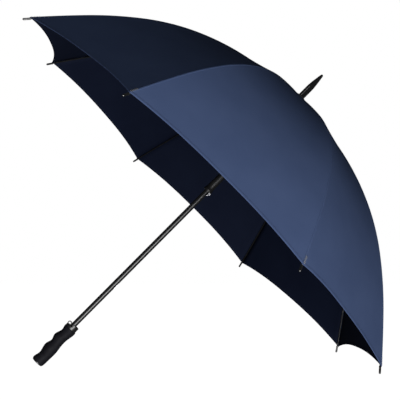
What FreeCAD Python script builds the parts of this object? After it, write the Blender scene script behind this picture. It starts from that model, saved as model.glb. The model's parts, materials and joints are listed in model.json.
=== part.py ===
"""Golf umbrella, open: eight ribs, eight stretchers, a sliding runner, an eight-panel canopy, shaft and grip.

Units are millimetres. +Z runs up the shaft, the origin is the centre of the grip's flat end, and the
finger grooves face -X. Rib 1 stands at half a panel from +X and the ribs follow every 45 degrees.
Each rib is drawn in its own XZ plane, with X outwards, and is then turned about Z to its place.
"""
import FreeCAD
import Part
import math
import os

V = FreeCAD.Vector
X_AXIS, Y_AXIS, Z_AXIS = V(1, 0, 0), V(0, 1, 0), V(0, 0, 1)

SIZES = {
    # shaft and grip
    "shaft_radius": 7.0,
    "shaft_bore": 6.2,
    "shaft_foot": 28.0,
    "grip_length": 117.0,
    "collar_radius": 15.8,
    "collar_height": 5.4,
    "palm_height": 12.5,
    "eye_radius": 3.0,
    "cap_thickness": 3.0,
    # crown and the circle that both sets of pivots lie on
    "crown_height": 942.0,
    "pivot_radius": 12.0,
    "notch_radius": 15.5,
    "slot_width": 3.2,
    "wire_radius": 0.6,
    "ferrule_length": 82.0,
    "ferrule_base": 8.8,
    # ribs: start slope below level, and length and turn of each arc
    "rib_radius": 1.7,
    "rib_slope": 10.7,
    "inner_arc": 156.0,
    "inner_turn_a": 4.2,
    "inner_turn_b": 12.7,
    "outer_arc": 143.0,
    "outer_turn_a": 13.0,
    "outer_turn_b": 7.9,
    "outer_turn_c": 2.6,
    "flex_gap": 1.2,
    "joiner_drop": 5.5,
    "tip_length": 18.0,
    "tip_radius": 2.6,
    # stretchers and runner
    "stretcher_radius": 1.5,
    "rivet_radius": 1.0,
    "runner_bore": 7.08,
    "runner_radius": 9.5,
    "runner_below": 146.0,
    "window_below": 50.0,
    # canopy
    "fabric_lift": 3.2,
    "fabric_thick": 0.8,
    "hem_back": 17.0,
    "hem_scallop": 26.0,
    "panel_gap": 0.3,
}
RIBS = 8
HALF_PANEL = 180.0 / RIBS


def make_sheet(doc):
    sheet = doc.addObject("Spreadsheet::Sheet", "Sizes")
    for row, (alias, value) in enumerate(SIZES.items(), 1):
        sheet.set(f"A{row}", alias)
        sheet.set(f"B{row}", str(value))
        sheet.setAlias(f"B{row}", alias)
    doc.recompute()
    return sheet


doc = FreeCAD.newDocument("golf_umbrella")
sheet = make_sheet(doc)
nodes = []


def size(alias):
    return float(sheet.get(alias))


def bind(obj, **cells):
    """Binds properties of obj to expressions over the sheet's cells."""
    for prop, expression in cells.items():
        obj.setExpression(prop, expression)
    return obj


def node(obj, label):
    obj.Label = label
    nodes.append(obj)
    return obj


def keep_shape(label, shape, azimuth=0.0):
    """A sub-part whose shape is worked out here, turned about Z to its azimuth."""
    obj = doc.addObject("Part::Feature", label)
    obj.Shape = shape
    obj.Placement = FreeCAD.Placement(V(), FreeCAD.Rotation(Z_AXIS, azimuth))
    return node(obj, label)


# ---------------------------------------------------------------- primitives bound to the sheet
def cylinder(name, radius, height, z, axis=Z_AXIS, x="0", y="0"):
    obj = doc.addObject("Part::Cylinder", name)
    obj.Placement = FreeCAD.Placement(V(), FreeCAD.Rotation(Z_AXIS, axis))
    return bind(obj, Radius=radius, Height=height, **{
        "Placement.Base.x": x, "Placement.Base.y": y, "Placement.Base.z": z})


def box(name, length, width, height, x, y, z):
    obj = doc.addObject("Part::Box", name)
    return bind(obj, Length=length, Width=width, Height=height, **{
        "Placement.Base.x": x, "Placement.Base.y": y, "Placement.Base.z": z})


def torus(name, ring, section, z):
    obj = doc.addObject("Part::Torus", name)
    return bind(obj, Radius1=ring, Radius2=section, **{"Placement.Base.z": z})


def cut(name, base, tool):
    obj = doc.addObject("Part::Cut", name)
    obj.Base, obj.Tool = base, tool
    return obj


def fuse(name, shapes):
    obj = doc.addObject("Part::MultiFuse", name)
    obj.Shapes = shapes
    return obj


# ---------------------------------------------------------------- PartDesign helpers
def origin_plane(body, role):
    return next(f for f in body.Origin.OriginFeatures if f.Role == role)


def origin_axis(body, role):
    return next(f for f in body.Origin.OriginFeatures if f.Role == role)


def sketch_on(body, name, role, offset=None):
    sk = body.newObject("Sketcher::SketchObject", name)
    sk.AttachmentSupport = [(origin_plane(body, role), "")]
    sk.MapMode = "FlatFace"
    if offset is not None:
        sk.AttachmentOffset = FreeCAD.Placement(offset, FreeCAD.Rotation())
    return sk


def polyline(sk, points):
    """A closed outline of straight runs and, where a point is (mid, end), arcs through mid."""
    last = V(*points[-1][-1], 0) if isinstance(points[-1][0], tuple) else V(*points[-1], 0)
    for p in points:
        if isinstance(p[0], tuple):
            mid, end = V(*p[0], 0), V(*p[1], 0)
            sk.addGeometry(Part.Arc(last, mid, end), False)
        else:
            end = V(*p, 0)
            sk.addGeometry(Part.LineSegment(last, end), False)
        last = end


def revolve(body, name, sk):
    rev = body.newObject("PartDesign::Revolution", name)
    rev.Profile = sk
    rev.ReferenceAxis = (origin_axis(body, "Z_Axis"), [""])
    rev.Angle = 360
    doc.recompute()
    return rev


def around(body, name, feature, count):
    pattern = body.newObject("PartDesign::PolarPattern", name)
    pattern.Originals = [feature]
    pattern.Axis = (origin_axis(body, "Z_Axis"), [""])
    pattern.Angle = 360
    pattern.Occurrences = count
    body.Tip = pattern
    doc.recompute()
    return pattern


def slot_pocket(body, name, x_from, z_from, z_to):
    """A slot that is open outwards, cut both ways from the XZ plane by half the slot's width."""
    reach = size("notch_radius") + 2
    sk = sketch_on(body, name + "_sketch", "XZ_Plane")
    polyline(sk, [(reach, z_from), (reach, z_to), (x_from, z_to), (x_from, z_from)])
    before = body.Shape.Volume
    pocket = body.newObject("PartDesign::Pocket", name)
    pocket.Profile = sk
    pocket.Midplane = True
    pocket.setExpression("Length", "Sizes.slot_width")
    doc.recompute()
    if body.Shape.Volume > before - 1:
        raise RuntimeError(f"{name} cut nothing")
    return pocket


# ---------------------------------------------------------------- the rib's curve, in its XZ plane
def heading(slope):
    """Unit vector that runs outwards, slope degrees below level."""
    return V(math.cos(math.radians(slope)), 0, -math.sin(math.radians(slope)))


def inward(slope):
    """Unit normal on the concave side of a curve with that slope."""
    return V(-math.sin(math.radians(slope)), 0, -math.cos(math.radians(slope)))


def follow(start, slope, stretches, lift=0.0):
    """Edges of tangent arcs from start, each (length, turn), drawn lift outside that line.

    Returns the edges and the end's point and slope."""
    edges = []
    at = start - inward(slope) * lift
    for length, turn in stretches:
        if abs(turn) < 1e-9:
            end = at + heading(slope) * length
            edges.append(Part.LineSegment(at, end).toShape())
        else:
            radius = length / math.radians(turn) + lift
            centre = at + inward(slope) * radius
            middle = centre - inward(slope + turn / 2) * radius
            end = centre - inward(slope + turn) * radius
            edges.append(Part.Arc(at, middle, end).toShape())
        at, slope = end, slope + turn
    return edges, at, slope


CROWN = V(size("pivot_radius"), 0, size("crown_height"))
INNER = [(size("inner_arc"), size("inner_turn_a")), (size("inner_arc"), size("inner_turn_b"))]
OUTER = [(size("outer_arc"), size("outer_turn_" + k)) for k in "abc"]
_, FLEX, FLEX_SLOPE = follow(CROWN, size("rib_slope"), INNER)
_, RIB_END, END_SLOPE = follow(FLEX, FLEX_SLOPE, OUTER)
JOINER = FLEX + inward(FLEX_SLOPE) * size("joiner_drop")
# the stretcher is as long as crown pivot to joiner pivot, so its foot is the mirror image
RUNNER_PIVOT = V(CROWN.x, 0, 2 * JOINER.z - CROWN.z)
LINK = (JOINER - CROWN).Length
CLOSED_PIVOT_Z = CROWN.z - 2 * LINK
RUNNER_FOOT_Z = RUNNER_PIVOT.z - size("runner_below")


def part_way(stretches, start, end):
    """The stretches of a curve between two lengths along it, with their turns in proportion."""
    kept, done = [], 0.0
    for length, turn in stretches:
        low, high = max(start, done), min(end, done + length)
        if high > low:
            kept.append((high - low, turn * (high - low) / length))
        done += length
    return kept


def point_along(start, slope, stretches, length):
    _, point, there = follow(start, slope, part_way(stretches, 0.0, length))
    return point, there


def rod(start, slope, stretches, radius):
    edges, _, _ = follow(start, slope, stretches)
    ring = Part.Wire(Part.makeCircle(radius, start, heading(slope)))
    return Part.Wire(edges).makePipeShell([ring], True, False)


def across(point, radius, width):
    """A cylinder along Y, centred on the rib's plane."""
    return Part.makeCylinder(radius, width, point - Y_AXIS * (width / 2), Y_AXIS)


def bar(start, end, height, width):
    """A flat bar from start to end, centred on the rib's plane."""
    run = end - start
    side = run.cross(Y_AXIS).normalize() * (height / 2)
    corners = [start + side, end + side, end - side, start - side, start + side]
    face = Part.Face(Part.makePolygon([c - Y_AXIS * (width / 2) for c in corners]))
    return face.extrude(Y_AXIS * width)


# ---------------------------------------------------------------- shaft, ferrule, crown
def make_shaft():
    length = "(Sizes.crown_height + 34 - Sizes.shaft_foot)"
    outer = cylinder("shaft_outer", "Sizes.shaft_radius", length, "Sizes.shaft_foot")
    inner = cylinder("shaft_inner", "Sizes.shaft_bore", length + " + 2", "Sizes.shaft_foot - 1")
    tube = cut("shaft_tube", outer, inner)
    windows = fuse("latch_windows", [
        box("upper_window", "6", "5", "17", "3.5", "-2.5", str(RUNNER_FOOT_Z - 16)),
        box("lower_window", "6", "5", "17", "3.5", "-2.5", str(LOWER_LEDGE_Z - 1.5)),
    ])
    node(cut("shaft_cut", tube, windows), "shaft")


def make_ferrule():
    """The spike on top: a blind socket over the shaft, a straight part, then a taper to a round nose."""
    base, r0 = size("crown_height") + 6.9, size("ferrule_base")
    top = base + size("ferrule_length")
    body = doc.addObject("PartDesign::Body", "ferrule_body")
    sk = sketch_on(body, "ferrule_profile", "XZ_Plane")
    nose, straight = 3.4, 0.42
    turns = [math.radians(a) for a in (15, 30, 45, 60, 73)]
    cap = [(nose * math.cos(a), top - nose + nose * math.sin(a)) for a in turns]
    bore, bore_top = size("shaft_radius"), size("crown_height") + 34
    steps, run = 10, top - nose - base - 3
    shares = [straight + (1 - straight) * i / steps for i in range(steps + 1)]
    taper = [(r0 - (r0 - nose) * (i / steps) ** 1.35, base + 3 + run * shares[i]) for i in range(steps + 1)]
    polyline(sk, [
        (bore, base), (r0 + 1.2, base), (r0 + 1.2, base + 1.6), (r0, base + 3), *taper,
        *cap, (0, cap[-1][1]), (0, bore_top), (bore, bore_top),
    ])
    revolve(body, "ferrule_turned", sk)
    node(body, "ferrule")


def make_notch_ring(label, z_low, z_high, slot_low, slot_high):
    """The crown: a ring on the shaft with a slot for each rib and a groove for the pivot wire."""
    body = doc.addObject("PartDesign::Body", label + "_body")
    sk = sketch_on(body, label + "_profile", "XZ_Plane")
    bore, rim = size("shaft_radius"), size("notch_radius")
    polyline(sk, [(bore, z_low), (rim, z_low), (rim, z_high), (bore, z_high)])
    revolve(body, label + "_turned", sk)
    slot = slot_pocket(body, label + "_slot", size("pivot_radius") - 3, slot_low, slot_high)
    around(body, label + "_slots", slot, RIBS)
    body.Placement = FreeCAD.Placement(V(), FreeCAD.Rotation(Z_AXIS, HALF_PANEL))
    return body


def make_crown():
    z = size("crown_height")
    ring = make_notch_ring("crown", z - 4, z + 1.8, z - 5, z + 3)
    groove = torus("crown_groove", "Sizes.pivot_radius", "Sizes.wire_radius + 0.05", "Sizes.crown_height")
    node(cut("crown_cut", ring, groove), "crown")
    node(torus("crown_ring", "Sizes.pivot_radius", "Sizes.wire_radius", "Sizes.crown_height"), "crown_wire")
    washer = cylinder("washer_disc", "14", "2", "Sizes.crown_height + 4.9")
    hole = cylinder("washer_hole", "Sizes.shaft_radius", "4", "Sizes.crown_height + 4")
    node(cut("washer_cut", washer, hole), "canopy_washer")


# ---------------------------------------------------------------- runner and its two catches
LOWER_LEDGE_Z = CLOSED_PIVOT_Z - size("window_below") - 7.0
LATCH_WIDTH = 4.0


def make_runner():
    z, foot = RUNNER_PIVOT.z, RUNNER_FOOT_Z
    bore, rim, tube = size("runner_bore"), size("notch_radius"), size("runner_radius")
    body = doc.addObject("PartDesign::Body", "runner_body")
    sk = sketch_on(body, "runner_profile", "XZ_Plane")
    polyline(sk, [
        (bore, z + 4), (rim, z + 4), (rim, z - 3), (tube + 1.2, z - 8), (tube, z - 20),
        (tube, foot + 62), (tube + 0.9, foot + 60), (tube + 0.9, foot + 16),
        ((tube + 1.4, foot + 9), (tube + 2.6, foot + 4)), (tube + 2.6, foot), (bore, foot),
    ])
    revolve(body, "runner_turned", sk)
    groove_sketch = sketch_on(body, "grip_groove_sketch", "XZ_Plane")
    first = foot + 20
    polyline(groove_sketch, [(tube + 2, first), (tube + 2, first + 2), (tube + 0.3, first + 2), (tube + 0.3, first)])
    groove = body.newObject("PartDesign::Groove", "grip_groove")
    groove.Profile = groove_sketch
    groove.ReferenceAxis = (origin_axis(body, "Z_Axis"), [""])
    groove.Angle = 360
    doc.recompute()
    rows = body.newObject("PartDesign::LinearPattern", "grip_grooves")
    rows.Originals = [groove]
    rows.Direction = (origin_axis(body, "Z_Axis"), [""])
    rows.Length = 36
    rows.Occurrences = 10
    body.Tip = rows
    doc.recompute()
    slot = slot_pocket(body, "runner_slot", size("pivot_radius") - 2.6, z - 2.6, z + 5)
    around(body, "runner_slots", slot, RIBS)
    body.Placement = FreeCAD.Placement(V(), FreeCAD.Rotation(Z_AXIS, HALF_PANEL))
    wire_seat = torus("runner_seat", "Sizes.pivot_radius", "Sizes.wire_radius + 0.05", str(z))
    window = box("runner_window", "8", "6", "19", "5", "-3", str(z - size("window_below") - 9.5))
    node(cut("runner_cut", body, fuse("runner_tools", [wire_seat, window])), "runner")
    node(torus("runner_ring", "Sizes.pivot_radius", "Sizes.wire_radius", str(z)), "runner_wire")


def make_latch(label, ledge_z, up):
    """A bent strip of spring steel in the shaft; its nose stands out through a window."""
    body = doc.addObject("PartDesign::Body", label + "_body")
    sk = sketch_on(body, label + "_profile", "XZ_Plane")
    strip, nose, tail = 0.9, 11.8, 60.0
    wall = size("shaft_bore") - 0.6
    outline = [
        (wall, -tail), (wall, -13), (nose, -2.5), (nose, 0), (wall - strip, 0),
        (wall - strip, -strip), (nose - strip, -strip), (nose - 1.2, -2.2),
        (wall - strip, -12.1), (wall - strip, -tail),
    ]
    polyline(sk, [(x, ledge_z + up * z) for x, z in outline])
    pad = body.newObject("PartDesign::Pad", label + "_pad")
    pad.Profile = sk
    pad.Midplane = True
    pad.Length = LATCH_WIDTH
    doc.recompute()
    node(body, label)


# ---------------------------------------------------------------- grip
# height up the grip, reach on the finger side, reach on the palm side
GRIP_SECTIONS = [
    (3, 16.2, 16.2), (17, 14.1, 17.3), (32, 15.0, 17.8), (50, 17.9, 17.6), (66, 14.1, 15.4),
    (86, 17.8, 14.6), (101, 13.6, 16.8), (113, 16.2, 18.0), (117, 15.6, 17.2),
]


def make_grip():
    body = doc.addObject("PartDesign::Body", "grip_body")
    rings = []
    for i, (z, finger, palm) in enumerate(GRIP_SECTIONS):
        sk = sketch_on(body, f"grip_section_{i}", "XY_Plane", V(0, 0, z))
        middle = V((palm - finger) / 2, 0, 0)
        sk.addGeometry(Part.Circle(middle, Z_AXIS, (palm + finger) / 2), False)
        rings.append(sk)
    doc.recompute()
    loft = body.newObject("PartDesign::AdditiveLoft", "grip_loft")
    loft.Profile = rings[0]
    loft.Sections = rings[1:]
    doc.recompute()
    bore = cylinder("grip_bore", "Sizes.shaft_radius", "Sizes.grip_length", "Sizes.shaft_foot")
    node(cut("grip_cut", body, bore), "grip")
    plate = cylinder("cap_plate", "15.2", "Sizes.cap_thickness", "0")
    bevel = doc.addObject("Part::Chamfer", "cap_bevel")
    doc.recompute()
    bevel.Base = plate
    bottom = next(i for i, e in enumerate(plate.Shape.Edges, 1) if abs(e.CenterOfMass.z) < 1e-6 and e.Closed)
    bevel.Edges = [(bottom, 0.8, 0.8)]
    node(bevel, "grip_end_cap")


def make_collar():
    """The ring on top of the grip, tall on the palm side, with an arched cord eye on the finger side."""
    top = size("grip_length")
    ring = cylinder("collar_ring", "Sizes.collar_radius", "Sizes.collar_height", "Sizes.grip_length")
    tall = cylinder("palm_disc", "Sizes.collar_radius", "Sizes.palm_height", "Sizes.grip_length")
    palm = cut("palm_side", tall, box("palm_limit", "30", "40", "20", "-28", "-20", str(top - 1)))
    eye_z = str(top + 8.5)
    lug = cylinder("eye_lug", "Sizes.eye_radius + 2.6", "6", eye_z, Y_AXIS, x="-11.2", y="-3")
    solid = fuse("collar_solid", [ring, palm, lug])
    eye = cylinder("eye_hole", "Sizes.eye_radius", "8", eye_z, Y_AXIS, x="-11.2", y="-4")
    bore = cylinder("collar_bore", "Sizes.shaft_radius", "20", str(top - 4))
    node(cut("collar_cut", solid, fuse("collar_tools", [eye, bore])), "grip_collar")


# ---------------------------------------------------------------- ribs, stretchers and tips
def inner_rib():
    """The rib from its eye at the crown to the flex point, with the joiner plates round its end."""
    slope = size("rib_slope")
    start, start_slope = point_along(CROWN, slope, INNER, 6.0)
    length = sum(a for a, _ in INNER)
    bar_part = bar(CROWN, start + heading(start_slope) * 3, 2.8, 2.4)
    shaft_part = rod(start, start_slope, part_way(INNER, 6.0, length - size("flex_gap")), size("rib_radius"))
    eye = across(CROWN, 2.0, 2.4)
    hole = across(CROWN, size("wire_radius") + 0.15, 5)
    solid = shaft_part.fuse([bar_part, eye]).cut(hole).removeSplitter()
    return Part.makeCompound(solid.Solids + [joiner()])


def joiner():
    """A folded steel clip: two side plates, a roof over the rib, and holes for the stretcher's rivet."""
    back, ahead = FLEX - heading(FLEX_SLOPE) * 15, FLEX + heading(FLEX_SLOPE) * 7
    down, roof = inward(FLEX_SLOPE), size("rib_radius") + 0.05
    side = 0.8
    half = roof + 0.05
    solids = []
    for y in (half, -half - side):
        outline = [back - down * (roof + 0.6), FLEX - down * (roof + 0.6), ahead - down * 0.4,
                   ahead + down * 2.4, JOINER + down * 3.0 + heading(FLEX_SLOPE) * 2.4,
                   JOINER + down * 3.0 - heading(FLEX_SLOPE) * 2.4, back + down * 1.2]
        wire = Part.makePolygon([p + Y_AXIS * y for p in outline + outline[:1]])
        solids.append(Part.Face(wire).extrude(Y_AXIS * side))
    low, high = back - down * (roof + 0.6), FLEX - heading(FLEX_SLOPE) * 1.0 - down * (roof + 0.6)
    shift = down * 0.3
    solids.append(bar(low + shift, high + shift, 0.6, 2 * (half + side)))
    clip = solids[0].fuse(solids[1:]).removeSplitter()
    return clip.cut(across(JOINER, size("rivet_radius") + 0.06, 12)).Solids[0]


def outer_rib():
    length = sum(a for a, _ in OUTER)
    start, slope = point_along(FLEX, FLEX_SLOPE, OUTER, size("flex_gap"))
    return rod(start, slope, part_way(OUTER, size("flex_gap"), length - 6), size("rib_radius"))


def tip_cap():
    """A moulded cap on the rib's end: a short socket and a rounded nose, with a sewing collar."""
    length = sum(a for a, _ in OUTER)
    start, slope = point_along(FLEX, FLEX_SLOPE, OUTER, length - size("tip_length"))
    run, radius = heading(slope), size("tip_radius")
    straight = size("tip_length") - radius
    cap = Part.makeCylinder(radius, straight, start, run)
    cap = cap.fuse([Part.makeSphere(radius, start + run * straight),
                    Part.makeCylinder(radius + 0.5, 1.2, start, run)])
    end, _ = point_along(FLEX, FLEX_SLOPE, OUTER, length - 6)
    socket = Part.makeCylinder(size("rib_radius") + 0.1, 40, end + run * 0.1, run * -1)
    return cap.removeSplitter().cut(socket)


def stretcher():
    """The strut from the runner to the joiner, with a flat eye at each end and its rivet beside it."""
    run = (JOINER - RUNNER_PIVOT).normalize()
    low, high = RUNNER_PIVOT + run * 7, JOINER - run * 8
    strut = Part.makeCylinder(size("stretcher_radius"), (high - low).Length, low, run)
    pieces = [bar(RUNNER_PIVOT, low + run * 3, 2.6, 2.4), across(RUNNER_PIVOT, 2.0, 2.4),
              bar(high - run * 3, JOINER, 2.6, 2.8), across(JOINER, 2.1, 2.8)]
    solid = strut.fuse(pieces).removeSplitter()
    solid = solid.cut(across(RUNNER_PIVOT, size("wire_radius") + 0.15, 5)).cut(across(JOINER, size("rivet_radius"), 5))
    plates = size("rib_radius") + 0.1 + 0.8
    rivet = across(JOINER, size("rivet_radius"), 2 * plates + 1.6)
    for y in (1, -1):
        head = Part.makeCylinder(1.8, 0.7, JOINER + Y_AXIS * (y * (plates + 0.1)), Y_AXIS * y)
        rivet = rivet.fuse(head)
    return Part.makeCompound([solid.Solids[0], rivet.removeSplitter().Solids[0]])


def make_frame():
    shapes = {"rib_{}_inner": inner_rib(), "rib_{}_outer": outer_rib(),
              "rib_{}_tip": tip_cap(), "stretcher_{}": stretcher()}
    for i in range(RIBS):
        for pattern, shape in shapes.items():
            keep_shape(pattern.format(i + 1), shape.copy(), HALF_PANEL + i * 2 * HALF_PANEL)


# ---------------------------------------------------------------- canopy panels
def fabric_strip(start, slope, stretches):
    """The fabric's section over a rib, narrowed to where the middle of a panel lies."""
    lift, thick = size("fabric_lift"), size("fabric_thick")
    outer, outer_end, _ = follow(start, slope, stretches, lift + thick)
    inner, inner_end, _ = follow(start, slope, stretches, lift)
    outer_start = start - inward(slope) * (lift + thick)
    inner_start = start - inward(slope) * lift
    ends = [Part.LineSegment(outer_end, inner_end).toShape(), Part.LineSegment(inner_start, outer_start).toShape()]
    face = Part.Face(Part.Wire(Part.__sortEdges__(outer + inner + ends)))
    narrow = FreeCAD.Matrix()
    narrow.scale(math.cos(math.radians(HALF_PANEL)), 1, 1)
    return face.transformGeometry(narrow)


def wedge():
    """Everything between two neighbouring ribs' planes, short of them by the panel gap."""
    reach, tangent = 800.0, math.tan(math.radians(HALF_PANEL))
    start = size("panel_gap") / math.sin(math.radians(HALF_PANEL))
    corners = [V(start, 0, 0), V(reach, (reach - start) * tangent, 0), V(reach, (start - reach) * tangent, 0)]
    face = Part.Face(Part.makePolygon(corners + corners[:1]))
    return face.extrude(Z_AXIS * 1200)


def panel(start, slope, stretches):
    half = 320.0
    strip = fabric_strip(start, slope, stretches)
    strip.translate(Y_AXIS * -half)
    return strip.extrude(Y_AXIS * (2 * half)).common(wedge())


def upper_panel():
    slope = size("rib_slope")
    start = CROWN - heading(slope) * 4
    cloth = panel(start, slope, [(4.0, 0.0)] + INNER)
    hole = Part.makeCylinder(size("shaft_radius") + 0.6, 60, V(0, 0, CROWN.z - 30), Z_AXIS)
    return cloth.cut(hole).Solids[0]


def lower_panel():
    """Ends in a hem that curves in between the two rib tips."""
    length = sum(a for a, _ in OUTER) - size("hem_back")
    cloth = panel(FLEX, FLEX_SLOPE, part_way(OUTER, 0.4, length))
    corner, slope = point_along(FLEX, FLEX_SLOPE, OUTER, length)
    narrow = math.cos(math.radians(HALF_PANEL))
    middle = V(corner.x * narrow, 0, corner.z)
    half, depth = corner.x * math.sin(math.radians(HALF_PANEL)), size("hem_scallop")
    radius = (half * half + depth * depth) / (2 * depth)
    run = V(heading(slope).x * narrow, 0, heading(slope).z).normalize()
    out = V(-run.z, 0, run.x)
    bite = Part.makeCylinder(radius, 200, middle + run * (radius - depth) - out * 100, out)
    return cloth.cut(bite).Solids[0]


def make_canopy():
    upper, lower = upper_panel(), lower_panel()
    for i in range(RIBS):
        azimuth = (i + 1) * 2 * HALF_PANEL
        keep_shape(f"panel_{i + 1}_upper", upper.copy(), azimuth)
        keep_shape(f"panel_{i + 1}_lower", lower.copy(), azimuth)


def check_and_export():
    doc.recompute()
    for obj in doc.Objects:
        if "Invalid" in obj.State or "Error" in obj.State:
            raise RuntimeError(f"{obj.Name} failed: {obj.State}")
    os.makedirs("parts", exist_ok=True)
    for obj in nodes:
        shape = obj.Shape
        if shape.isNull() or not shape.isValid() or not shape.Solids:
            raise RuntimeError(f"{obj.Label} has no valid solid")
        shape.exportStep(f"parts/{obj.Label}.step")
        print(f"{obj.Label}: {len(shape.Solids)} solid(s), {shape.Volume:.0f} mm3")


make_shaft()
make_ferrule()
make_crown()
make_runner()
make_latch("upper_catch", RUNNER_FOOT_Z - 0.4, 1)
make_latch("lower_catch", LOWER_LEDGE_Z, -1)
make_grip()
make_collar()
make_frame()
make_canopy()
check_and_export()
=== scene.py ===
"""The looks of the golf umbrella: canopy cloth, seams, hems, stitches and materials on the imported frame."""
import json
import math

import bpy
from mathutils import Matrix, Vector


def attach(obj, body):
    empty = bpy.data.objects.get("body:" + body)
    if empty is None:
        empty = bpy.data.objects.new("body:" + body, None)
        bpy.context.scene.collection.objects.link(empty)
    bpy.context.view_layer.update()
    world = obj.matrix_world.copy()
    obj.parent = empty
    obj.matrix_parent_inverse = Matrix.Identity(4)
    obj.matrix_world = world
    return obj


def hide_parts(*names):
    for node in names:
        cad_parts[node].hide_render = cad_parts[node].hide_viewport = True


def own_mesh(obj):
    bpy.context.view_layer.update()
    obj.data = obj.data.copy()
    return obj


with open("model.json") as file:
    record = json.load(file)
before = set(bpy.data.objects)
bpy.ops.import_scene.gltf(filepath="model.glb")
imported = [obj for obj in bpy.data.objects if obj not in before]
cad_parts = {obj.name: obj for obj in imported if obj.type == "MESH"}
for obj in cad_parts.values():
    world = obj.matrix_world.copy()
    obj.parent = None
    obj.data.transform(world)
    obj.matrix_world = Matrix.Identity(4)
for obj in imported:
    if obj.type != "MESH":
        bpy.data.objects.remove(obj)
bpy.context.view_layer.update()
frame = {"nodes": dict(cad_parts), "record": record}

RIBS = 8
HALF = math.pi / RIBS
# the rib's curve, as in the CAD: metres, and degrees below level
CROWN = (0.012, 0.942)
SLOPE = 10.7
INNER = [(0.156, 4.2), (0.156, 12.7)]
OUTER = [(0.143, 13.0), (0.143, 7.9), (0.143, 2.6)]
CREASE = sum(length for length, _ in INNER)
RIB_LENGTH = CREASE + sum(length for length, _ in OUTER)
LIFT = 0.0032  # the cloth's inner face above the rib's curve
CLOTH = 0.0006  # its thickness
HEM_BACK = 0.017  # the hem stops this far short of the rib's end
SCALLOP = 0.022  # how far the hem bows in between ribs
SAG = 0.005  # how far the cloth bows inwards between ribs, at the rim
SEAM_HALF = 0.0028
TACKS, TACK_STEP = 6, 0.0035
SHARP = math.radians(75)
# across the hem: distance back from the rim, and how far it stands proud
HEM_PROFILE = [(-0.0070, 0.0001), (-0.0064, 0.0003), (-0.0036, 0.0004), (-0.0008, 0.0003), (0.0, 0.0)]
# across a seam: share of its half width, and how far it stands proud
SEAM_PROFILE = [(-1, 0.0), (-0.7, 0.0002), (-0.2, 0.0002), (0, -0.0001), (0.2, 0.0002), (0.7, 0.0002), (1, 0.0)]


def curve(s, lift=0.0):
    """Radius, height and slope at length s along a rib, lifted outside it."""
    (r, z), slope = CROWN, SLOPE
    if s < 0:
        r, z = r + s * math.cos(math.radians(slope)), z - s * math.sin(math.radians(slope))
    done = 0.0
    for length, turn in INNER + OUTER:
        run = min(length, s - done)
        if run <= 0:
            break
        radius, part = length / math.radians(turn), turn * run / length
        r += radius * (math.sin(math.radians(slope + part)) - math.sin(math.radians(slope)))
        z += radius * (math.cos(math.radians(slope + part)) - math.cos(math.radians(slope)))
        slope += part
        done += length
    if s > RIB_LENGTH:
        r += (s - RIB_LENGTH) * math.cos(math.radians(slope))
        z -= (s - RIB_LENGTH) * math.sin(math.radians(slope))
    a = math.radians(slope)
    return r + lift * math.sin(a), z + lift * math.cos(a), slope


def turned(x, y, z, azimuth):
    c, s = math.cos(azimuth), math.sin(azimuth)
    return (c * x - s * y, s * x + c * y, z)


# ---------------------------------------------------------------- materials
def new_material(name, **inputs):
    mat = bpy.data.materials.new(name)
    mat.use_nodes = True
    shader = mat.node_tree.nodes["Principled BSDF"]
    for key, value in inputs.items():
        shader.inputs[key.replace("_", " ")].default_value = value
    return mat, mat.node_tree, shader


def add(tree, kind, **inputs):
    n = tree.nodes.new(kind)
    for key, value in inputs.items():
        n.inputs[key.replace("_", " ")].default_value = value
    return n


def coords(tree, output="Object", scale=(1, 1, 1)):
    source = tree.nodes.new("ShaderNodeTexCoord")
    mapping = add(tree, "ShaderNodeMapping", Scale=scale)
    tree.links.new(source.outputs[output], mapping.inputs["Vector"])
    return mapping.outputs["Vector"]


def ramp(tree, factor, low, high, start=0.3, end=0.7):
    n = tree.nodes.new("ShaderNodeValToRGB")
    n.color_ramp.elements[0].position, n.color_ramp.elements[0].color = start, low
    n.color_ramp.elements[1].position, n.color_ramp.elements[1].color = end, high
    tree.links.new(factor, n.inputs["Fac"])
    return n.outputs["Color"]


def bumped(tree, shader, height, strength, distance):
    bump = add(tree, "ShaderNodeBump", Strength=strength, Distance=distance)
    tree.links.new(height, bump.inputs["Height"])
    tree.links.new(bump.outputs["Normal"], shader.inputs["Normal"])


def woven(name, low, high, roughness, specular):
    """Fine plain-weave cloth: threads both ways, a little slub, and soft drifts of tone."""
    mat, tree, shader = new_material(name, Specular_IOR_Level=specular)
    uv = coords(tree, "UV")
    threads = []
    for direction in ("X", "Y"):
        wave = add(tree, "ShaderNodeTexWave", Scale=260.0, Distortion=0.6, Detail=1.0)
        wave.bands_direction = direction
        tree.links.new(uv, wave.inputs["Vector"])
        threads.append(wave.outputs["Fac"])
    weave = tree.nodes.new("ShaderNodeMath")
    weave.operation = "MULTIPLY"
    for socket, thread in zip(weave.inputs, threads):
        tree.links.new(thread, socket)
    drift = add(tree, "ShaderNodeTexNoise", Scale=9.0, Detail=3.0, Roughness=0.55)
    tree.links.new(uv, drift.inputs["Vector"])
    slub = add(tree, "ShaderNodeTexNoise", Scale=420.0, Detail=2.0)
    tree.links.new(uv, slub.inputs["Vector"])
    tone = tree.nodes.new("ShaderNodeMix")
    tone.data_type = "FLOAT"
    tone.inputs["Factor"].default_value = 0.3
    tree.links.new(drift.outputs["Fac"], tone.inputs["A"])
    tree.links.new(slub.outputs["Fac"], tone.inputs["B"])
    tree.links.new(ramp(tree, tone.outputs["Result"], low, high), shader.inputs["Base Color"])
    rough = add(tree, "ShaderNodeMapRange", To_Min=roughness - 0.06, To_Max=roughness + 0.08)
    tree.links.new(drift.outputs["Fac"], rough.inputs["Value"])
    tree.links.new(rough.outputs["Result"], shader.inputs["Roughness"])
    bumped(tree, shader, weave.outputs["Value"], 0.25, 0.0002)
    return mat


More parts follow.
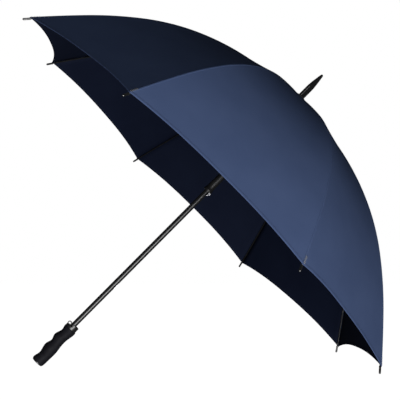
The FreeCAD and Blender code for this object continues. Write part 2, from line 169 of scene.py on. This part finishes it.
def speckled(name, low, high, roughness, grain, bump, distance=0.0002, **inputs):
    """Moulded or painted surfaces: fine grain, faint tone drift and roughness that varies."""
    mat, tree, shader = new_material(name, **inputs)
    place = coords(tree)
    fine = add(tree, "ShaderNodeTexNoise", Scale=grain, Detail=4.0, Roughness=0.6)
    wide = add(tree, "ShaderNodeTexNoise", Scale=grain / 14, Detail=2.0)
    for n in (fine, wide):
        tree.links.new(place, n.inputs["Vector"])
    tree.links.new(ramp(tree, wide.outputs["Fac"], low, high), shader.inputs["Base Color"])
    rough = add(tree, "ShaderNodeMapRange", To_Min=roughness * 0.8, To_Max=roughness * 1.2)
    tree.links.new(fine.outputs["Fac"], rough.inputs["Value"])
    tree.links.new(rough.outputs["Result"], shader.inputs["Roughness"])
    bumped(tree, shader, fine.outputs["Fac"], bump, distance)
    return mat


def grey(value, blue=1.06):
    return (value, value * 1.01, value * blue, 1)


OUTSIDE = woven("canopy_outside", (0.031, 0.047, 0.098, 1), (0.038, 0.056, 0.113, 1), 0.7, 0.02)
# The inner face is much darker than the outer face of the same cloth: painted shade, for the shade under the
# canopy.
SHADED_INSIDE = woven("canopy_inside_painted_shade", (0.0030, 0.0045, 0.0115, 1), (0.0040, 0.0060, 0.0145, 1), 0.7, 0.04)
HEM = woven("canopy_hem", (0.030, 0.045, 0.094, 1), (0.036, 0.053, 0.108, 1), 0.65, 0.03)
THREAD = speckled("stitch_thread", grey(0.07), grey(0.12), 0.6, 900, 0.4)
SHAFT = speckled("shaft_black", grey(0.004), grey(0.006), 0.32, 300, 0.002, Coat_Weight=0.15, Coat_Roughness=0.22,
                 Specular_IOR_Level=0.2)
GLOSS = speckled("gloss_black", grey(0.003), grey(0.005), 0.13, 260, 0.004, Coat_Weight=1.0, Coat_Roughness=0.06)
PLASTIC = speckled("satin_black", grey(0.004), grey(0.007), 0.34, 700, 0.15, Specular_IOR_Level=0.35)
RUBBER = speckled("grip_rubber", grey(0.003, 1.35), grey(0.006, 1.35), 0.6, 1300, 0.4, 0.0003,
                  Specular_IOR_Level=0.05)
STEEL = speckled("bright_steel", grey(0.55), grey(0.68), 0.28, 900, 0.1, Metallic=1.0)
STRUT = speckled("strut_black", grey(0.004), grey(0.007), 0.30, 500, 0.1, Coat_Weight=0.3)
FIBRE = speckled("rib_fibreglass", grey(0.003), grey(0.006), 0.34, 800, 0.2, Specular_IOR_Level=0.3)
MATERIALS = {"shaft_paint": SHAFT, "black_gloss": GLOSS, "black_plastic": PLASTIC, "steel": STEEL,
             "grip_rubber": RUBBER, "stretcher_paint": STRUT, "tip_gloss": GLOSS, "rib_fibre": FIBRE}


def dress_frame():
    """Gives each CAD node the material of its slot in the record."""
    for sub in frame["record"]["subparts"]:
        obj, mat = frame["nodes"][sub["node"]], MATERIALS.get(sub["material_slot"])
        if mat:
            obj.data.materials.clear()
            obj.data.materials.append(mat)


# ---------------------------------------------------------------- cloth
def build(name, verts, faces, uvs, mats, marks, body):
    """A mesh piece: marks gives each face's material index."""
    mesh = bpy.data.meshes.new(name)
    mesh.from_pydata(verts, [], faces)
    layer = mesh.uv_layers.new(name="UVMap")
    for loop in mesh.loops:
        layer.data[loop.index].uv = uvs[loop.vertex_index]
    for mat in mats:
        mesh.materials.append(mat)
    for poly, mark in zip(mesh.polygons, marks):
        poly.material_index = mark
        poly.use_smooth = True
    mesh.update()
    mesh.set_sharp_from_angle(angle=SHARP)
    obj = bpy.data.objects.new(name, mesh)
    bpy.context.scene.collection.objects.link(obj)
    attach(obj, body)
    return obj


def shell(name, rows, mats, body, uv_rows):
    """A closed thin sheet from rows of (outer point, inner point). mats is (outer, inner); edges take the outer."""
    height, width = len(rows), len(rows[0])
    verts = [p[0] for row in rows for p in row] + [p[1] for row in rows for p in row]
    uvs = [uv for row in uv_rows for uv in row] * 2
    half, faces, marks = height * width, [], []
    for i in range(height - 1):
        for j in range(width - 1):
            a, b, c, d = i * width + j, i * width + j + 1, (i + 1) * width + j + 1, (i + 1) * width + j
            faces += [(a, d, c, b), (half + a, half + b, half + c, half + d)]
            marks += [0, 1]
    edge = [(0, j) for j in range(width)] + [(i, width - 1) for i in range(1, height)]
    edge += [(height - 1, j) for j in range(width - 2, -1, -1)] + [(i, 0) for i in range(height - 2, 0, -1)]
    ring = [i * width + j for i, j in edge]
    for a, b in zip(ring, ring[1:] + ring[:1]):
        faces.append((a, b, half + b, half + a))
        marks.append(0)
    return build(name, verts, faces, uvs, mats, marks, body)


def rim_length(u):
    """Length along the panel where the hem lies, at u from -1 to 1 across it."""
    return RIB_LENGTH - HEM_BACK - SCALLOP * (1 - abs(u) ** 2.4)


def cloth_point(s, u, lift, azimuth):
    """A point on a panel: straight from rib to rib, sagging a little inwards between them."""
    r, z, slope = curve(s, lift)
    sag = SAG * (1 - u * u) * min(1, max(0, s) / RIB_LENGTH)
    a = math.radians(slope)
    x = r * math.cos(HALF) - sag * math.sin(a)
    y = u * (r * math.sin(HALF) - 0.0004)
    return turned(x, y, z - sag * math.cos(a), azimuth)


def panel_rows(start, end_at, steps, across, azimuth, lift, thick):
    rows, uvs = [], []
    for i in range(steps + 1):
        row, uv = [], []
        for j in range(across + 1):
            u = -1 + 2 * j / across
            s = start + (end_at(u) - start) * i / steps
            row.append((cloth_point(s, u, lift + thick, azimuth), cloth_point(s, u, lift, azimuth)))
            uv.append((u * curve(s)[0] * math.sin(HALF), s))
        rows.append(row)
        uvs.append(uv)
    return rows, uvs


def gather(obj):
    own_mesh(obj)


def make_panel(number):
    azimuth = number * 2 * HALF
    for part, start, end_at, steps in (
        ("upper", -0.0035, lambda u: CREASE, 24),
        ("lower", CREASE, lambda u: rim_length(u) - 0.004, 40),
    ):
        node = f"panel_{number}_{part}"
        rows, uvs = panel_rows(start, end_at, steps, 24, azimuth, LIFT, CLOTH)
        cloth = shell(f"cloth_{number}_{part}", rows, [OUTSIDE, SHADED_INSIDE], node, uvs)
        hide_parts(node)
        width = 2 * curve(end_at(1))[0] * math.sin(HALF)
        length = end_at(1) - start
        extra = [make_seam(number, part)] + ([make_hem(number, azimuth)] if part == "lower" else [])
        gather(cloth)


def make_hem(number, azimuth):
    """The rolled edge: a double fold 7 mm deep along the scallop."""
    rows, uvs = [], []
    for back, proud in HEM_PROFILE:
        row, uv = [], []
        for j in range(49):
            u = -1 + 2 * j / 48
            s = rim_length(u) + back
            outer = cloth_point(s, u, LIFT + CLOTH + proud, azimuth)
            row.append((outer, cloth_point(s, u, LIFT - proud, azimuth)))
            uv.append((u * 0.23, s))
        rows.append(row)
        uvs.append(uv)
    hem = shell(f"hem_{number}", rows, [HEM, SHADED_INSIDE], f"panel_{number}_lower", uvs)
    gather(hem)
    return hem


def rib_azimuth(number):
    return HALF + (number - 1) * 2 * HALF


def make_seam(number, part):
    """The felled seam over a rib: a narrow double layer with its stitches showing as fine ridges."""
    azimuth = rib_azimuth(number)
    body, start, stop, steps = {
        "upper": (f"rib_{number}", 0.012, CREASE, 24),
        "lower": (f"rib_{number}_end", CREASE, RIB_LENGTH - HEM_BACK, 36),
    }[part]
    rows, uvs = [], []
    for i in range(steps + 1):
        s = start + (stop - start) * i / steps
        row, uv = [], []
        for v, proud in SEAM_PROFILE:
            y = v * SEAM_HALF
            r, z, slope = curve(s, LIFT + CLOTH + proud)
            drop = abs(y) * math.tan(HALF) * math.sin(math.radians(slope))
            a = math.radians(slope)
            outer = turned(r - drop * math.sin(a), y, z - drop * math.cos(a), azimuth)
            r, z, _ = curve(s, LIFT + 0.0001)
            inner = turned(r - drop * math.sin(a), y, z - drop * math.cos(a), azimuth)
            row.append((outer, inner))
            uv.append((y, s))
        rows.append(row)
        uvs.append(uv)
    return shell(f"seam_{number}_{part}", rows, [OUTSIDE, SHADED_INSIDE], body, uvs)


def bead(verts, faces, centre, run, side, up, length, width):
    """A small rounded stitch added to verts and faces."""
    base, rings, around = len(verts), 4, 6
    for i in range(rings + 1):
        t = -1 + 2 * i / rings
        swell = max(0.15, math.sqrt(1 - t * t))
        for k in range(around):
            a = 2 * math.pi * k / around
            out = (side * math.cos(a) + up * math.sin(a)) * (width / 2 * swell)
            verts.append(tuple(Vector(centre) + run * (t * length / 2) + out))
    for i in range(rings):
        for k in range(around):
            a, b = base + i * around + k, base + i * around + (k + 1) % around
            faces.append((a, b, b + around, a + around))
    faces.append(tuple(base + k for k in reversed(range(around))))
    faces.append(tuple(base + rings * around + k for k in range(around)))


def make_tacks(number):
    """Bar tacks across the end of a rib's seam, by the tip cap."""
    azimuth = rib_azimuth(number)
    verts, faces = [], []
    side = Vector(turned(0, 1, 0, azimuth))
    for k in range(TACKS):
        s = RIB_LENGTH - HEM_BACK - 0.004 - TACK_STEP * k
        r, z, slope = curve(s, LIFT + CLOTH + 0.0009)
        a = math.radians(slope)
        run = Vector(turned(math.cos(a), 0, -math.sin(a), azimuth))
        up = Vector(turned(math.sin(a), 0, math.cos(a), azimuth))
        bead(verts, faces, turned(r, 0, z, azimuth), side, run, up, 0.006, 0.0011)
    uvs = [(0, 0)] * len(verts)
    build(f"tack_{number}", verts, faces, uvs, [THREAD], [0] * len(faces), f"rib_{number}_end")


# ---------------------------------------------------------------- stage
def make_stage():
    """A pale floor under the tips and the grip's end, as the umbrella lies, and one-sided so it hides nothing."""
    lean = math.radians(44.4)
    mat, tree, shader = new_material("pale_floor", Roughness=0.9, Base_Color=(0.95, 0.95, 0.95, 1))
    shader.inputs["Emission Color"].default_value = (1, 1, 1, 1)
    shader.inputs["Emission Strength"].default_value = 0.99
    side, clear, mix = (tree.nodes.new(k) for k in (
        "ShaderNodeNewGeometry", "ShaderNodeBsdfTransparent", "ShaderNodeMixShader"))
    tree.links.new(side.outputs["Backfacing"], mix.inputs["Fac"])
    tree.links.new(shader.outputs["BSDF"], mix.inputs[1])
    tree.links.new(clear.outputs["BSDF"], mix.inputs[2])
    tree.links.new(mix.outputs["Shader"], tree.nodes["Material Output"].inputs["Surface"])
    mesh = bpy.data.meshes.new("floor")
    size = 8.0
    mesh.from_pydata([(-size, -size, 0), (size, -size, 0), (size, size, 0), (-size, size, 0)], [], [(0, 1, 2, 3)])
    mesh.materials.append(mat)
    floor = bpy.data.objects.new("floor", mesh)
    bpy.context.scene.collection.objects.link(floor)
    normal = Vector((-math.sin(lean), 0, math.cos(lean)))
    floor.matrix_world = Matrix.Translation(normal * -0.03) @ Matrix.Rotation(-lean, 4, "Y")
    floor.visible_shadow = floor.visible_diffuse = floor.visible_glossy = False


# where the camera stands, and how it is turned: heading left of +Y, rise above level, roll
EYE = (0.019, -2.264, 0.377)
HEADING, RISE, ROLL = math.radians(0.4), math.radians(5.0), math.radians(44.84)
TURN = (Matrix.Rotation(HEADING, 4, "Z") @ Matrix.Rotation(math.pi / 2 + RISE, 4, "X")
        @ Matrix.Rotation(ROLL, 4, "Z"))
RIGHT, UP, BACK = (TURN.to_3x3().col[k].copy() for k in range(3))


def make_camera():
    data = bpy.data.cameras.new("camera")
    data.sensor_width, data.lens = 36.0, 80.3
    data.clip_end = 60
    camera = bpy.data.objects.new("camera", data)
    bpy.context.scene.collection.objects.link(camera)
    camera.matrix_world = Matrix.Translation(EYE) @ TURN
    bpy.context.scene.camera = camera


def area_light(name, at, target, width, height, power, along):
    """A rectangular light at a point, facing target, its long side nearest to the direction along."""
    data = bpy.data.lights.new(name, "AREA")
    data.shape, data.size, data.size_y, data.energy = "RECTANGLE", width, height, power
    light = bpy.data.objects.new(name, data)
    bpy.context.scene.collection.objects.link(light)
    back = (Vector(at) - Vector(target)).normalized()
    side = Vector(along).cross(back).normalized()
    light.matrix_world = Matrix.Translation(at) @ Matrix((side, back.cross(side), back)).transposed().to_4x4()


def make_lights():
    """A broad light in front, low in the picture, and two strips for the highlights on the shaft and ferrule."""
    world = bpy.data.worlds.new("studio")
    world.use_nodes = True
    tree = world.node_tree
    tree.nodes["Background"].inputs["Color"].default_value = (1, 1, 1, 1)
    seen = tree.nodes.new("ShaderNodeLightPath")
    level = add(tree, "ShaderNodeMapRange", To_Min=0.05, To_Max=1.0)
    tree.links.new(seen.outputs["Is Camera Ray"], level.inputs["Value"])
    tree.links.new(level.outputs["Result"], tree.nodes["Background"].inputs["Strength"])
    bpy.context.scene.world = world
    bpy.context.scene.view_settings.view_transform = "Standard"
    middle = Vector((0, 0, 0.75))
    key_at = middle - UP * 1.02 + RIGHT * 0.22 + BACK * 2.55
    area_light("key", key_at, middle, 1.6, 1.6, 157, (0, 0, 1))
    area_light("shaft_strip", (-1.9, -2.3, 0.05), (0, 0, 0.2), 0.5, 1.5, 1.2, (0, 0, 1))
    area_light("ferrule_strip", (-1.9, -2.3, 1.62), (0, 0, 1.0), 0.3, 0.7, 2.0, (0, 0, 1))


dress_frame()
for n in range(1, RIBS + 1):
    make_panel(n)
    make_tacks(n)
make_stage()
make_camera()
make_lights()
